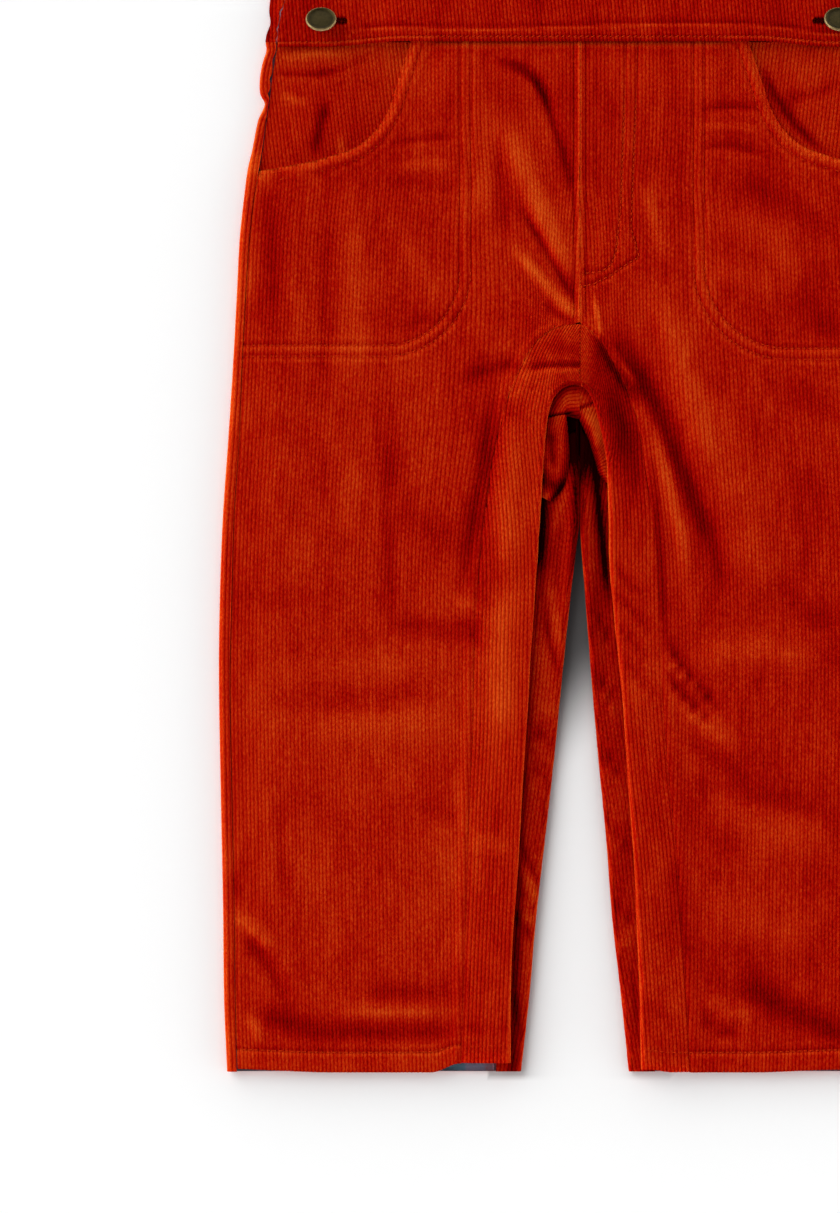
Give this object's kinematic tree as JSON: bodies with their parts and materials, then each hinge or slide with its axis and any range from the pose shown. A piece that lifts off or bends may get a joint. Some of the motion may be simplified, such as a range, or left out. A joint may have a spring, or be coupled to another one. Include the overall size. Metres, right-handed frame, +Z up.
{
  "type": "toddler overalls",
  "caption": "Toddler's corduroy overalls laid flat, with wide straight legs, curved pocket openings, a waistband with brass side buttons, a plain bib and shoulder straps.",
  "frame": {"origin": "middle of the flat underside, on the surface that the overalls lie on", "axes": "+X to the right of the picture, +Y towards the shoulder straps, +Z up from the surface"},
  "size_m": [0.35, 0.7441, 0.017],
  "materials": {
    "corduroy": "fine-wale cotton corduroy, rust red, soft pile",
    "flannel": "brushed cotton flannel, blue and mauve check",
    "brass": "dark antique brass"
  },
  "bodies": {
    "root": {"front_leg_left": "corduroy", "front_leg_right": "corduroy", "back_leg_left": "corduroy", "back_leg_right": "corduroy", "back_turn_left": "corduroy", "back_turn_right": "corduroy", "crotch_roll_left": "corduroy", "crotch_roll_right": "corduroy", "waistband_front": "corduroy", "waistband_back": "corduroy", "bib_front": "corduroy", "bib_back": "corduroy", "pocket_facing_left": "corduroy", "pocket_facing_right": "corduroy", "strap_left": "corduroy", "strap_right": "corduroy", "hem_lining_left": "flannel", "hem_lining_right": "flannel", "side_lining_left": "flannel", "side_lining_right": "flannel", "side_button_left": "brass", "side_button_right": "brass", "strap_button_left": "brass", "strap_button_right": "brass"}
  },
  "joints": []
}
